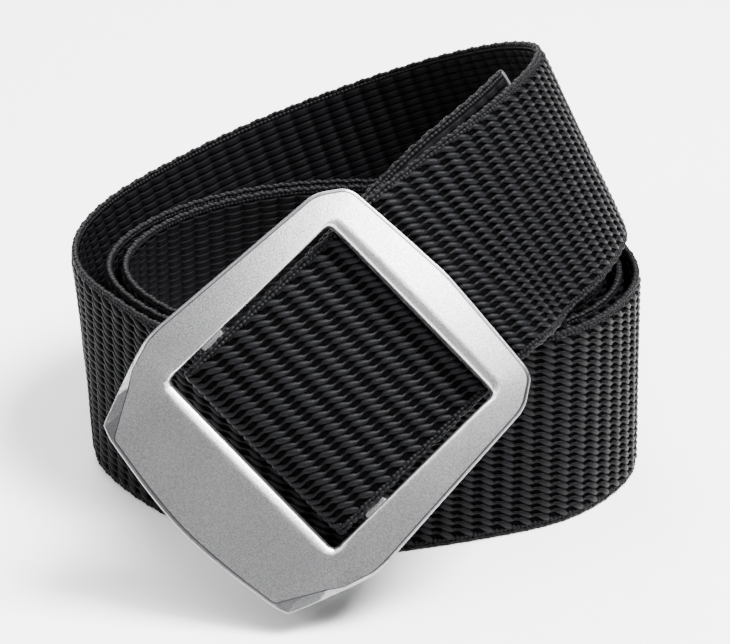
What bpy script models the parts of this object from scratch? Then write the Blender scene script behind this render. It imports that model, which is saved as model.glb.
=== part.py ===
"""Web belt laid up as a flat coil, its plate buckle leaning in front.

Two loose pieces make the belt. A polyamide webbing strap is one long flat
band: its tail is folded round the buckle's cross bar, its front layer goes
out through the buckle's window, over the coil, once round the back and then
in floor laps to the free end. The buckle is one zinc casting: a plate with a
square window, a broad end bar and an integral cross bar for the fold.

Lengths are written in millimetres and angles in degrees; the meshes are in
metres with +Z up and the floor at z = 0.
"""
import math

import bmesh
import bpy
import numpy as np

MM = 0.001

# webbing
STRAP_WIDTH = 38.0
STRAP_THICK = 1.9
SELVAGE_CHAMFER = 0.55
SECTION_TURN = 7.0
SECTION_STEP = 7.0
TAIL_STEPS = 26
FOLD_STEPS = 12

# how the buckle stands
BUCKLE_CENTRE = (-5.6, -25.4, 36.6)
BUCKLE_YAW = 3.0
BUCKLE_LEAN = 28.0
BUCKLE_SPIN = 43.0

# buckle casting
PLATE_HALF = 1.4
BAR_FROM = -11.4
BAR_TO = -6.0
BAR_BACK = -2.1
BAR_FRONT = 0.1
BAR_HALF_LONG = 21.6
BAR_CHAMFER = 0.5

# Half of the casting's rim, from the middle of the narrow end bar round one
# corner to the middle of the broad end bar; the other half mirrors it.
# rim and face are (along, across) points of the outer edge and of the line
# where its bevel meets the face, window is the paired point of the opening,
# rim_top and face_top are heights, roll is the rounding of the window's edge.
RIM = (
    # rim            rim_top  face           face_top  window          roll
    ((26.8, 0.0),    0.60,    (26.0, 0.0),   1.40,     (18.5, 0.0),    1.10),
    ((26.5, 11.0),   0.60,    (25.7, 11.0),  1.40,     (18.5, 10.0),   1.10),
    ((25.5, 20.4),   0.60,    (24.7, 20.2),  1.40,     (18.5, 18.5),   1.00),
    ((24.7, 22.1),   0.60,    (24.0, 21.7),  1.40,     (18.2, 19.35),  0.80),
    ((21.2, 24.5),   0.60,    (20.8, 23.8),  1.40,     (17.35, 19.65), 0.60),
    ((19.4, 25.1),   0.60,    (19.2, 24.3),  1.40,     (16.0, 19.65),  0.45),
    ((2.0, 26.2),    0.60,    (2.0, 25.4),   1.40,     (2.0, 19.65),   0.45),
    ((-14.0, 27.25), 0.60,    (-14.0, 26.4), 1.40,     (-13.0, 19.65), 0.45),
    ((-16.6, 27.1),  0.60,    (-16.6, 26.3), 1.40,     (-16.0, 19.65), 0.60),
    ((-20.3, 26.0),  0.45,    (-21.6, 25.0), 1.38,     (-17.35, 19.65), 0.80),
    ((-26.0, 23.9),  0.10,    (-24.2, 23.2), 1.30,     (-18.2, 19.35), 1.00),
    ((-31.3, 21.8),  -0.10,   (-28.0, 21.0), 1.15,     (-18.5, 18.5),  1.20),
    ((-32.2, 19.3),  0.20,    (-31.7, 18.9), 0.98,     (-18.5, 16.0),  1.30),
    ((-33.8, 9.0),   0.30,    (-33.1, 9.0),  0.95,     (-18.5, 8.0),   1.30),
    ((-34.5, 0.0),   0.30,    (-33.8, 0.0),  0.95,     (-18.5, 0.0),   1.30),
)
BACK_BEVEL = 0.35

# strap at the buckle
# Front layer inside the casting and round the turn behind its narrow bar:
# place along the buckle, place across it, and height over the plate's middle.
FOLD_ALONG = -13.2
FOLD_RADIUS = 2.35
FOLD_HEIGHT = -1.0
THROUGH = (
    # along   across  height
    (-13.2,   0.00,   1.35),
    (-9.0,    0.00,   1.37),
    (-5.0,    0.00,   1.15),
    (2.0,     0.03,   0.05),
    (10.0,    0.08,   -1.60),
    (17.0,    0.14,   -2.80),
    (22.5,    0.20,   -3.15),
    (26.3,    0.32,   -3.55),
    (29.2,    0.50,   -4.60),
    (31.8,    0.75,   -6.20),
)
# Tail behind the front layer: distance from the fold, spacing of the two
# layers' middles, and how far the tail has slewed toward the upper selvage.
TAIL = (
    # from_fold  spacing  slew
    (0.0,        4.70,    0.0),
    (5.0,        4.70,    0.0),
    (12.0,       4.45,    0.0),
    (22.0,       3.40,    0.1),
    (32.0,       2.60,    0.5),
    (46.0,       3.20,    1.6),
    (62.0,       3.40,    2.1),
    (82.5,       3.40,    2.3),
)

# strap from the buckle to the floor
# Middle of the band from the buckle over the coil, round the right-hand turn,
# down the back, round the left end and along the front: place, height of the
# middle, and lean of the upper selvage away from the coil.
RUN = (
    # x      y      height  lean
    (25.0,   2.2,   54.4,   -33.5),
    (31.2,   10.6,  56.3,   -31.5),
    (35.8,   20.1,  57.1,   -30.0),
    (38.6,   29.6,  56.8,   -28.5),
    (39.2,   39.6,  55.4,   -24.5),
    (37.2,   49.1,  52.7,   -19.5),
    (33.2,   57.6,  49.5,   -14.0),
    (27.3,   64.8,  45.7,   -7.0),
    (19.9,   70.3,  41.7,   0.5),
    (11.0,   73.6,  37.6,   7.5),
    (-4.8,   74.5,  31.4,   13.0),
    (-16.4,  71.8,  27.6,   14.0),
    (-32.0,  63.0,  23.2,   14.0),
    (-44.8,  49.4,  20.5,   12.0),
    (-50.0,  38.0,  19.3,   9.0),
    (-51.1,  29.0,  19.1,   6.0),
    (-49.5,  18.0,  19.0,   1.5),
    (-45.4,  10.1,  19.0,   0.0),
    (-38.7,  0.7,   19.0,   0.0),
    (-23.8,  -11.7, 19.0,   0.0),
    (-4.2,   -16.8, 19.0,   0.0),
    (15.2,   -13.0, 19.0,   0.0),
    (26.3,   -9.1,  19.0,   0.0),
    (34.0,   -5.4,  19.0,   0.0),
    (40.3,   0.1,   19.0,   -0.5),
    (45.2,   7.0,   19.0,   -1.2),
    (48.5,   15.0,  19.0,   -1.5),
)

# floor laps
# Reach of the first lap from the coil's middle, every 30 degrees from the
# right-hand end round by the back; each later lap lies one pitch further in.
LAP_CENTRE = (1.0, 23.0)
LAP_REACH = (47.8, 45.0, 41.6, 40.0, 42.0, 45.4, 47.3, 42.8, 39.0, 36.4, 36.6, 42.4)
LAP_PITCH = 3.0
LAP_STATIONS = 27


def clear_scene():
    for obj in list(bpy.data.objects):
        bpy.data.objects.remove(obj, do_unlink=True)


def unit(v):
    return v / np.linalg.norm(v)


def buckle_axes():
    """Return the along, across and face directions of the leaning plate."""
    yaw = math.radians(BUCKLE_YAW)
    lean = math.radians(BUCKLE_LEAN)
    spin = math.radians(BUCKLE_SPIN)
    level = np.array([math.cos(yaw), math.sin(yaw), 0.0])
    rise = np.array([-math.sin(yaw) * math.sin(lean), math.cos(yaw) * math.sin(lean), math.cos(lean)])
    along = level * math.cos(spin) + rise * math.sin(spin)
    across = level * math.sin(spin) - rise * math.cos(spin)
    return along, across, np.cross(across, along)


def on_buckle(s, c, w):
    """Place a point given along, across and over the plate's middle."""
    along, across, face = buckle_axes()
    return np.array(BUCKLE_CENTRE) + along * s + across * c + face * w


def natural_spline(knots, values):
    """Return a function for the natural cubic spline through the values."""
    t = np.asarray(knots, float)
    y = np.asarray(values, float)
    n = len(t)
    h = np.diff(t)
    a = np.zeros((n, n))
    r = np.zeros_like(y)
    a[0, 0] = 1.0
    a[-1, -1] = 1.0
    for i in range(1, n - 1):
        a[i, i - 1] = h[i - 1]
        a[i, i] = 2.0 * (h[i - 1] + h[i])
        a[i, i + 1] = h[i]
        r[i] = 6.0 * ((y[i + 1] - y[i]) / h[i] - (y[i] - y[i - 1]) / h[i - 1])
    m = np.linalg.solve(a, r)

    def at(u):
        i = int(np.clip(np.searchsorted(t, u) - 1, 0, n - 2))
        p = (t[i + 1] - u) / h[i]
        q = 1.0 - p
        bend = ((p ** 3 - p) * m[i] + (q ** 3 - q) * m[i + 1]) * h[i] ** 2 / 6.0
        return p * y[i] + q * y[i + 1] + bend

    return at


def upright(tangent, lean):
    """Return the selvage direction that leans out by the given angle."""
    out = unit(np.cross(tangent, (0.0, 0.0, 1.0)))
    up = np.cross(out, tangent)
    a = math.radians(lean)
    return up * math.cos(a) + out * math.sin(a)


def guide_stations():
    """Return the middles of the band and the leans; None keeps the buckle's."""
    places = []
    leans = []
    for s, c, w in THROUGH:
        places.append(on_buckle(s, c, w))
        leans.append(None)
    for x, y, z, lean in RUN:
        places.append(np.array([x, y, z]))
        leans.append(lean)
    for k in range(LAP_STATIONS):
        reach = LAP_REACH[k % 12] - LAP_PITCH * (k // 12)
        a = math.radians(30.0 * k)
        x = LAP_CENTRE[0] + reach * math.cos(a)
        y = LAP_CENTRE[1] + reach * math.sin(a)
        places.append(np.array([x, y, STRAP_WIDTH / 2]))
        leans.append(0.0)
    return np.array(places), leans


def band_functions():
    """Return length, place(u) and selvage(u) of the band from the fold on."""
    places, leans = guide_stations()
    steps = np.linalg.norm(np.diff(places, axis=0), axis=1)
    knots = np.concatenate([[0.0], np.cumsum(steps)])
    place = natural_spline(knots, places)
    across = buckle_axes()[1]
    selvages = []
    for k, lean in enumerate(leans):
        lo = place(max(knots[k] - 0.05, 0.0))
        hi = place(min(knots[k] + 0.05, knots[-1]))
        selvages.append(-across if lean is None else upright(unit(hi - lo), lean))
    selvage = natural_spline(knots, np.array(selvages))
    return knots[-1], place, selvage


def frame_at(place, selvage, u, end):
    """Return middle, direction, selvage direction and outer face there."""
    lo = place(max(u - 0.05, 0.0))
    hi = place(min(u + 0.05, end))
    tangent = unit(hi - lo)
    side = selvage(u)
    side = unit(side - tangent * np.dot(side, tangent))
    return place(u), tangent, side, np.cross(tangent, side)


def strap_sections():
    """Return (middle, selvage direction, outer face) from the tail's tip on."""
    end, place, selvage = band_functions()
    tail = natural_spline([row[0] for row in TAIL], [row[1:] for row in TAIL])
    tail_end = TAIL[-1][0]

    def tail_middle(u):
        p, t, side, out = frame_at(place, selvage, u, end)
        spacing, slew = tail(u)
        return p - out * spacing + side * slew, side

    sections = []
    for k in range(TAIL_STEPS):
        u = tail_end * (1.0 - k / TAIL_STEPS)
        p, side = tail_middle(u)
        ahead = tail_middle(max(u - 0.1, 0.0))[0]
        behind = tail_middle(min(u + 0.1, tail_end))[0]
        t = unit(ahead - behind)
        side = unit(side - t * np.dot(side, t))
        sections.append((p, side, np.cross(t, side)))

    along, across, face = buckle_axes()
    for k in range(FOLD_STEPS + 1):
        a = math.radians(-90.0 - 180.0 * k / FOLD_STEPS)
        p = on_buckle(FOLD_ALONG + FOLD_RADIUS * math.cos(a), 0.0, FOLD_HEIGHT + FOLD_RADIUS * math.sin(a))
        sections.append((p, -across, along * math.cos(a) + face * math.sin(a)))

    u = 0.0
    last = frame_at(place, selvage, 0.0, end)
    while u < end:
        step = SECTION_STEP
        while step > 1.5:
            ahead = frame_at(place, selvage, min(u + step, end), end)
            turned = max(angle_between(ahead[1], last[1]), angle_between(ahead[2], last[2]))
            if turned <= SECTION_TURN:
                break
            step -= 0.25
        u = min(u + step, end)
        if end - u < 1.5:
            u = end
        last = frame_at(place, selvage, u, end)
        sections.append((last[0], last[2], last[3]))
    return sections


def angle_between(a, b):
    return math.degrees(math.acos(float(np.clip(np.dot(a, b), -1.0, 1.0))))


def strap_section_points(middle, side, out):
    """Return the corners of one section: two faces and chamfered selvages."""
    hw = STRAP_WIDTH / 2
    ht = STRAP_THICK / 2
    c = SELVAGE_CHAMFER
    across = (hw - c, hw / 2, 0.0, -hw / 2, c - hw)
    corners = [(w, ht) for w in across]
    corners += [(-hw, ht - c), (-hw, c - ht)]
    corners += [(w, -ht) for w in reversed(across)]
    corners += [(hw, c - ht), (hw, ht - c)]
    return [middle + side * w + out * n for w, n in corners]


def build_strap():
    rings = [strap_section_points(*section) for section in strap_sections()]
    size = len(rings[0])
    verts = [p for ring in rings for p in ring]
    faces = []
    for i in range(len(rings) - 1):
        for j in range(size):
            a = i * size + j
            b = i * size + (j + 1) % size
            faces.append((a, b, b + size, a + size))
    faces.append(tuple(range(size - 1, -1, -1)))
    faces.append(tuple(range(len(verts) - size, len(verts))))
    return make_object("webbing_strap", verts, faces)


def pull(point, target, amount):
    """Move a plan point toward another by a length."""
    d = np.array(target) - np.array(point)
    return np.array(point) + d / np.linalg.norm(d) * amount


def rim_profile(row, side):
    """Return the closed profile of the casting's rim at one station."""
    rim, rim_top, face, face_top, window, roll = row
    outward = pull(window, rim, roll)
    halfway = pull(window, rim, roll * 0.3)
    window_top = PLATE_HALF if face_top > 1.2 else PLATE_HALF + 0.1
    ring = (
        (pull(rim, window, BACK_BEVEL), -PLATE_HALF),
        (rim, BACK_BEVEL - PLATE_HALF),
        (rim, rim_top),
        (face, face_top),
        (outward, window_top),
        (halfway, window_top - roll * 0.3),
        (window, window_top - roll),
        (window, BACK_BEVEL - PLATE_HALF),
        (pull(window, rim, BACK_BEVEL), -PLATE_HALF),
    )
    return [on_buckle(p[0], p[1] * side, w) for p, w in ring]


def build_buckle():
    stations = [rim_profile(row, 1.0) for row in RIM]
    stations += [rim_profile(row, -1.0) for row in RIM[-2:0:-1]]
    count = len(stations)
    size = len(stations[0])
    verts = [p for station in stations for p in station]
    faces = []
    for i in range(count):
        k = (i + 1) % count
        for j in range(size):
            m = (j + 1) % size
            faces.append((i * size + j, i * size + m, k * size + m, k * size + j))
    frame = make_object("buckle_frame", verts, faces)
    bar = build_cross_bar()
    union = frame.modifiers.new("cross_bar", "BOOLEAN")
    union.operation = "UNION"
    union.solver = "EXACT"
    union.object = bar
    depsgraph = bpy.context.evaluated_depsgraph_get()
    joined = bpy.data.meshes.new_from_object(frame.evaluated_get(depsgraph))
    frame.modifiers.clear()
    frame.data = joined
    bpy.data.objects.remove(bar, do_unlink=True)
    return frame


def build_cross_bar():
    """Build the chamfered bar whose ends sink into the side rails."""
    c = BAR_CHAMFER
    outline = (
        (BAR_FROM + c, BAR_BACK), (BAR_TO - c, BAR_BACK), (BAR_TO, BAR_BACK + c), (BAR_TO, BAR_FRONT - c),
        (BAR_TO - c, BAR_FRONT), (BAR_FROM + c, BAR_FRONT), (BAR_FROM, BAR_FRONT - c), (BAR_FROM, BAR_BACK + c),
    )
    verts = [on_buckle(s, side * BAR_HALF_LONG, w) for side in (-1, 1) for s, w in outline]
    faces = [(j, (j + 1) % 8, (j + 1) % 8 + 8, j + 8) for j in range(8)]
    faces.append(tuple(range(7, -1, -1)))
    faces.append(tuple(range(8, 16)))
    return make_object("cross_bar", verts, faces)


def make_object(name, verts, faces):
    """Make a mesh object from millimetre points, its faces turned outward."""
    mesh = bpy.data.meshes.new(name)
    mesh.from_pydata([tuple(float(c) * MM for c in p) for p in verts], [], faces)
    bm = bmesh.new()
    bm.from_mesh(mesh)
    bmesh.ops.recalc_face_normals(bm, faces=bm.faces)
    if bm.calc_volume(signed=True) < 0.0:
        bmesh.ops.reverse_faces(bm, faces=bm.faces)
    bmesh.ops.triangulate(bm, faces=bm.faces)
    bm.to_mesh(mesh)
    bm.free()
    obj = bpy.data.objects.new(name, mesh)
    bpy.context.scene.collection.objects.link(obj)
    return obj


def material(name, colour, metallic, roughness):
    mat = bpy.data.materials.new(name)
    mat.use_nodes = True
    shader = mat.node_tree.nodes["Principled BSDF"]
    shader.inputs["Base Color"].default_value = (*colour, 1.0)
    shader.inputs["Metallic"].default_value = metallic
    shader.inputs["Roughness"].default_value = roughness
    return mat


def settle(objects):
    """Set the origin under the middle of the whole belt, on the floor."""
    points = np.array([v.co for obj in objects for v in obj.data.vertices])
    low = points.min(axis=0)
    high = points.max(axis=0)
    shift = np.array([(low[0] + high[0]) / 2, (low[1] + high[1]) / 2, low[2]])
    for obj in objects:
        for v in obj.data.vertices:
            v.co = [float(v.co[k] - shift[k]) for k in range(3)]
        obj.data.update()


def main():
    clear_scene()
    strap = build_strap()
    strap.data.materials.append(material("black_webbing", (0.018, 0.018, 0.021), 0.0, 0.8))
    buckle = build_buckle()
    buckle.data.materials.clear()
    buckle.data.materials.append(material("pearl_silver_zinc", (0.70, 0.70, 0.72), 1.0, 0.42))
    settle([strap, buckle])


main()
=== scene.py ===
# %% [markdown]
# # A web belt rolled up behind its plate buckle
#
# The belt is one long strap of coarse black webbing and one matte silver
# buckle. The strap's tail is folded round the buckle's cross bar. Its front
# layer goes out through the window, over the roll, once round behind it and
# then in floor laps to the free end.
#
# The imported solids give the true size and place. This script dresses them:
# real yarns on both faces of the strap, corded selvages, and a cast buckle
# with crisp bevels and a bead-blasted skin.

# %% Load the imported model
import math

import bmesh
import bpy
import numpy as np
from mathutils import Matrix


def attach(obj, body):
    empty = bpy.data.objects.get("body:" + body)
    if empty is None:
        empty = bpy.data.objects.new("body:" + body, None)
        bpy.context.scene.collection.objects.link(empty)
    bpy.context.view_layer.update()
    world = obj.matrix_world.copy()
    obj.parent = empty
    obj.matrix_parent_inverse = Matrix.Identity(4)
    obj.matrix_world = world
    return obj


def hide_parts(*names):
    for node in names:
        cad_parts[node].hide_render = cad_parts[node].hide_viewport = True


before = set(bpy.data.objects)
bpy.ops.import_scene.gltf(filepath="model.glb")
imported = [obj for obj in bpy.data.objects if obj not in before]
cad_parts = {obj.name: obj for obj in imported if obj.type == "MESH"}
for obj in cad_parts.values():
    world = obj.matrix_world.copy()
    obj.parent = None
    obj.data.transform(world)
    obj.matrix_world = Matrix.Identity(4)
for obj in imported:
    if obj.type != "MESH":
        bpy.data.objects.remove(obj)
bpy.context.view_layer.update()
MM = 0.001
print("nodes:", sorted(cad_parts))

# %% [markdown]
# ## The camera
#
# The photograph looks down on the belt by 25 degrees from about half a metre
# away. The camera stands there first, so each later piece can be judged in
# the photograph's own view.

# %% Camera
CAMERA_PLACE = (2.0, -471.2, 248.0)
CAMERA_DOWN = 25.0
CAMERA_LENS = 142.0
CAMERA_SENSOR = 36.0

camera_data = bpy.data.cameras.new("photo_camera")
camera_data.lens = CAMERA_LENS
camera_data.sensor_width = CAMERA_SENSOR
camera = bpy.data.objects.new("photo_camera", camera_data)
camera.location = [c * MM for c in CAMERA_PLACE]
camera.rotation_euler = (math.radians(90.0 - CAMERA_DOWN), 0.0, 0.0)
bpy.context.scene.collection.objects.link(camera)
bpy.context.scene.camera = camera
print("camera", tuple(round(c, 3) for c in camera.location))

# %% [markdown]
# ## How the buckle stands
#
# The plate leans back against the roll, turned a little to the right and
# spun 43 degrees in its own plane. Three unit directions describe it: along
# the strap, across it, and out of the plate's face. Every point of the buckle
# and of the strap inside it is written in those three.

# %% The leaning plate's own directions
ROLL_MIDDLE = np.array([-2.0225, 18.0455, -0.0101])
BUCKLE_CENTRE = np.array([-5.6, -25.4, 36.6]) - ROLL_MIDDLE
BUCKLE_YAW = math.radians(3.0)
BUCKLE_LEAN = math.radians(28.0)
BUCKLE_SPIN = math.radians(43.0)

level = np.array([math.cos(BUCKLE_YAW), math.sin(BUCKLE_YAW), 0.0])
rise = np.array([
    -math.sin(BUCKLE_YAW) * math.sin(BUCKLE_LEAN),
    math.cos(BUCKLE_YAW) * math.sin(BUCKLE_LEAN),
    math.cos(BUCKLE_LEAN),
])
ALONG = level * math.cos(BUCKLE_SPIN) + rise * math.sin(BUCKLE_SPIN)
ACROSS = level * math.sin(BUCKLE_SPIN) - rise * math.cos(BUCKLE_SPIN)
FACE = np.cross(ACROSS, ALONG)


def on_buckle(s, c, w):
    """Place a point given along, across and over the plate's middle."""
    return BUCKLE_CENTRE + ALONG * s + ACROSS * c + FACE * w


print("face of the plate looks toward", FACE.round(2))

# %% [markdown]
# ## The strap's path
#
# Webbing bends easily across its flat but hardly at all in its own plane, so
# its path is best told as a row for each stretch: where the middle of the
# band is and how far its upper edge leans out. A natural spline joins the
# rows. The floor laps need no rows of their own: one outline of the roll is
# enough, with each later lap one pitch further in.

# %% Rows of the path
STRAP_WIDTH = 38.0

# middle of the fold round the cross bar, and the fold's radius
FOLD_ALONG = -13.2
FOLD_HEIGHT = -1.0
FOLD_RADIUS = 2.35
# from the fold out through the window, in the plate's own directions
THROUGH = (
    # along   across  height
    (-13.2,   0.00,   1.35),
    (-9.0,    0.00,   1.37),
    (-5.0,    0.00,   1.15),
    (2.0,     0.03,   0.05),
    (10.0,    0.08,   -1.60),
    (17.0,    0.14,   -2.80),
    (22.5,    0.20,   -3.15),
    (26.3,    0.32,   -3.55),
    (29.2,    0.50,   -4.60),
    (31.8,    0.75,   -6.20),
)
# tail: how far it lies behind the front layer and how far it slews
TAIL = (
    # from_fold  spacing  slew
    (0.0,        4.70,    0.0),
    (5.0,        4.70,    0.0),
    (12.0,       4.45,    0.0),
    (22.0,       3.40,    0.1),
    (32.0,       2.60,    0.5),
    (46.0,       3.20,    1.6),
    (62.0,       3.40,    2.1),
    (82.5,       3.40,    2.3),
)
# over the roll, round behind it and along the front
RUN = (
    # x      y      height  lean
    (25.0,   2.2,   54.4,   -33.5),
    (31.2,   10.6,  56.3,   -31.5),
    (35.8,   20.1,  57.1,   -30.0),
    (38.6,   29.6,  56.8,   -28.5),
    (39.2,   39.6,  55.4,   -24.5),
    (37.2,   49.1,  52.7,   -19.5),
    (33.2,   57.6,  49.5,   -14.0),
    (27.3,   64.8,  45.7,   -7.0),
    (19.9,   70.3,  41.7,   0.5),
    (11.0,   73.6,  37.6,   7.5),
    (-4.8,   74.5,  31.4,   13.0),
    (-16.4,  71.8,  27.6,   14.0),
    (-32.0,  63.0,  23.2,   14.0),
    (-44.8,  49.4,  20.5,   12.0),
    (-50.0,  38.0,  19.3,   9.0),
    (-51.1,  29.0,  19.1,   6.0),
    (-49.5,  18.0,  19.0,   1.5),
    (-45.4,  10.1,  19.0,   0.0),
    (-38.7,  0.7,   19.0,   0.0),
    (-23.8,  -11.7, 19.0,   0.0),
    (-4.2,   -16.8, 19.0,   0.0),
    (15.2,   -13.0, 19.0,   0.0),
    (26.3,   -9.1,  19.0,   0.0),
    (34.0,   -5.4,  19.0,   0.0),
    (40.3,   0.1,   19.0,   -0.5),
    (45.2,   7.0,   19.0,   -1.2),
    (48.5,   15.0,  19.0,   -1.5),
)
# reach of the first floor lap from the roll's middle, every 30 degrees
LAP_CENTRE = (1.0, 23.0)
LAP_TURN = 30.0
LAP_REACH = (47.8, 45.0, 41.6, 40.0, 42.0, 45.4, 47.3, 42.8, 39.0, 36.4, 36.6, 42.4)
LAP_PITCH = 3.0
LAP_STATIONS = 27
print("rows:", len(THROUGH), "in the buckle,", len(RUN), "on the run,", LAP_STATIONS, "on the laps")

# %% Natural spline
def natural_spline(knots, values):
    """Return a function for the natural cubic spline through the values."""
    t = np.asarray(knots, float)
    y = np.asarray(values, float)
    n = len(t)
    h = np.diff(t)
    a = np.zeros((n, n))
    r = np.zeros_like(y)
    a[0, 0] = 1.0
    a[-1, -1] = 1.0
    for i in range(1, n - 1):
        a[i, i - 1] = h[i - 1]
        a[i, i] = 2.0 * (h[i - 1] + h[i])
        a[i, i + 1] = h[i]
        r[i] = 6.0 * ((y[i + 1] - y[i]) / h[i] - (y[i] - y[i - 1]) / h[i - 1])
    m = np.linalg.solve(a, r)

    def at(u):
        i = int(np.clip(np.searchsorted(t, u) - 1, 0, n - 2))
        p = (t[i + 1] - u) / h[i]
        q = 1.0 - p
        bend = ((p ** 3 - p) * m[i] + (q ** 3 - q) * m[i + 1]) * h[i] ** 2 / 6.0
        return p * y[i] + q * y[i + 1] + bend

    return at


# %% The leaning band
PROBE = 0.05


def unit(v):
    """Return the vector at length one."""
    return v / np.linalg.norm(v)


def upright(tangent, lean):
    """Return the selvage direction that leans out by the given angle."""
    out = unit(np.cross(tangent, (0.0, 0.0, 1.0)))
    up = np.cross(out, tangent)
    return up * math.cos(math.radians(lean)) + out * math.sin(math.radians(lean))


def band_functions():
    """Return length, place(u) and selvage(u) of the band from the fold on."""
    places = [on_buckle(*row) for row in THROUGH]
    leans = [None] * len(THROUGH)
    for x, y, z, lean in RUN:
        places.append(np.array([x, y, z]) - ROLL_MIDDLE)
        leans.append(lean)
    for k in range(LAP_STATIONS):
        lap, spoke = divmod(k, len(LAP_REACH))
        reach = LAP_REACH[spoke] - LAP_PITCH * lap
        a = math.radians(LAP_TURN * k)
        x = LAP_CENTRE[0] + reach * math.cos(a)
        y = LAP_CENTRE[1] + reach * math.sin(a)
        places.append(np.array([x, y, STRAP_WIDTH / 2]) - ROLL_MIDDLE)
        leans.append(0.0)
    places = np.array(places)
    steps = np.linalg.norm(np.diff(places, axis=0), axis=1)
    knots = np.concatenate([[0.0], np.cumsum(steps)])
    place = natural_spline(knots, places)
    selvages = []
    for k, lean in enumerate(leans):
        lo = place(max(knots[k] - PROBE, 0.0))
        hi = place(min(knots[k] + PROBE, knots[-1]))
        selvages.append(-ACROSS if lean is None else upright(unit(hi - lo), lean))
    return knots[-1], place, natural_spline(knots, np.array(selvages))


BAND_END, band_place, band_selvage = band_functions()
print("band from the fold to the free end: %.0f mm" % BAND_END)

# %% One guide from the tail's tip to the free end
GUIDE_STEP = 1.0
WALK_STEP = 0.5
FOLD_STEPS = 24


def band_frame(u):
    """Return middle, selvage direction and outer face of the front layer."""
    lo = band_place(max(u - PROBE, 0.0))
    hi = band_place(min(u + PROBE, BAND_END))
    tangent = unit(hi - lo)
    side = band_selvage(u)
    side = unit(side - tangent * np.dot(side, tangent))
    return band_place(u), side, np.cross(tangent, side)


def walk_strap():
    """Return frames down the tail, round the fold and along the band."""
    tail = natural_spline([row[0] for row in TAIL], [row[1:] for row in TAIL])
    tail_end = TAIL[-1][0]
    middles = []
    sides = []
    for u in np.arange(tail_end, 0.8 * WALK_STEP, -WALK_STEP):
        p, side, out = band_frame(u)
        spacing, slew = tail(u)
        middles.append(p - out * spacing + side * slew)
        sides.append(side)
    for k in range(FOLD_STEPS + 1):
        a = math.radians(-90.0 - 180.0 * k / FOLD_STEPS)
        s = FOLD_ALONG + FOLD_RADIUS * math.cos(a)
        w = FOLD_HEIGHT + FOLD_RADIUS * math.sin(a)
        middles.append(on_buckle(s, 0.0, w))
        sides.append(-ACROSS)
    for u in np.arange(WALK_STEP, BAND_END, WALK_STEP):
        p, side, out = band_frame(u)
        middles.append(p)
        sides.append(side)
    return np.array(middles), np.array(sides)


def even_guide():
    """Resample the walk every GUIDE_STEP and square up its directions."""
    middles, sides = walk_strap()
    run = np.concatenate([[0.0], np.cumsum(np.linalg.norm(np.diff(middles, axis=0), axis=1))])
    count = int(run[-1] / GUIDE_STEP) + 1
    u = np.arange(count) * GUIDE_STEP
    p = np.stack([np.interp(u, run, middles[:, k]) for k in range(3)], axis=1)
    s = np.stack([np.interp(u, run, sides[:, k]) for k in range(3)], axis=1)
    t = np.gradient(p, axis=0)
    t /= np.linalg.norm(t, axis=1)[:, None]
    s -= t * np.sum(s * t, axis=1)[:, None]
    s /= np.linalg.norm(s, axis=1)[:, None]
    return p, s, np.cross(t, s)


GUIDE_P, GUIDE_SIDE, GUIDE_OUT = even_guide()
STRAP_LENGTH = (len(GUIDE_P) - 1) * GUIDE_STEP
print("whole strap: %.0f mm" % STRAP_LENGTH)


# %% Mesh helpers and the guide object
def new_mesh_object(name, verts, faces, edges=()):
    """Make a mesh object from millimetre points."""
    mesh = bpy.data.meshes.new(name)
    mesh.from_pydata([tuple(float(c) * MM for c in p) for p in verts], list(edges), faces)
    mesh.validate()
    obj = bpy.data.objects.new(name, mesh)
    bpy.context.scene.collection.objects.link(obj)
    return obj


def closed_object(name, verts, faces):
    """Make a closed mesh object with its faces turned outward."""
    obj = new_mesh_object(name, verts, faces)
    bm = bmesh.new()
    bm.from_mesh(obj.data)
    bmesh.ops.recalc_face_normals(bm, faces=bm.faces)
    if bm.calc_volume(signed=True) < 0.0:
        bmesh.ops.reverse_faces(bm, faces=bm.faces)
    bm.to_mesh(obj.data)
    bm.free()
    return obj


def make_guide():
    """Make the guide: a chain of points that carry the band's directions."""
    count = len(GUIDE_P)
    guide = new_mesh_object("strap_guide", GUIDE_P, [], [(i, i + 1) for i in range(count - 1)])
    for name, values in (("selvage_dir", GUIDE_SIDE), ("face_dir", GUIDE_OUT)):
        layer = guide.data.attributes.new(name, "FLOAT_VECTOR", "POINT")
        layer.data.foreach_set("vector", values.astype(np.float32).ravel())
    return guide


guide = make_guide()
print("guide:", len(guide.data.vertices), "points")

# %% [markdown]
# ## Yarns
#
# Up close the webbing is rows of thick warp yarns that run along the strap.
# Each yarn swells into an oblique pillow where it floats on top. Then it
# pinches to a straight thread beside a dark hole. Over one row a yarn drifts
# by one lane, so the rows of holes stay square to the edges while the pillows
# lie slantwise. One period of one yarn is a small tube, told by seven sections.
# Geometry Nodes set thousands of them on a flat grid, weld them into long
# yarns and then bend the flat sheet along the guide. A picture of the weave
# would look flat from the side; true yarns catch the light and cast their
# own small shadows.

# %% One period of a yarn
ROW_PITCH = 3.7
COLUMNS = 26
COLUMN_PITCH = 1.34
CORE_HALF = 0.32
YARN_SUNK = 0.14

# share of the period, width and sideways place as shares of a lane, height
FACE_YARN = (
    (0.00, 0.52, 0.50, 0.66),
    (0.16, 0.42, 0.49, 0.58),
    (0.33, 0.52, 0.46, 0.66),
    (0.44, 0.90, 0.34, 0.86),
    (0.58, 1.12, 0.14, 0.93),
    (0.76, 1.10, -0.14, 0.92),
    (0.91, 0.86, -0.36, 0.80),
)
# The inner face is flatter: wide floats packed into ribs across the strap.
BACK_YARN = (
    (0.00, 1.04, 0.00, 0.42),
    (0.22, 1.04, 0.00, 0.80),
    (0.50, 1.04, 0.00, 0.95),
    (0.78, 1.04, 0.00, 0.80),
)
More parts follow.
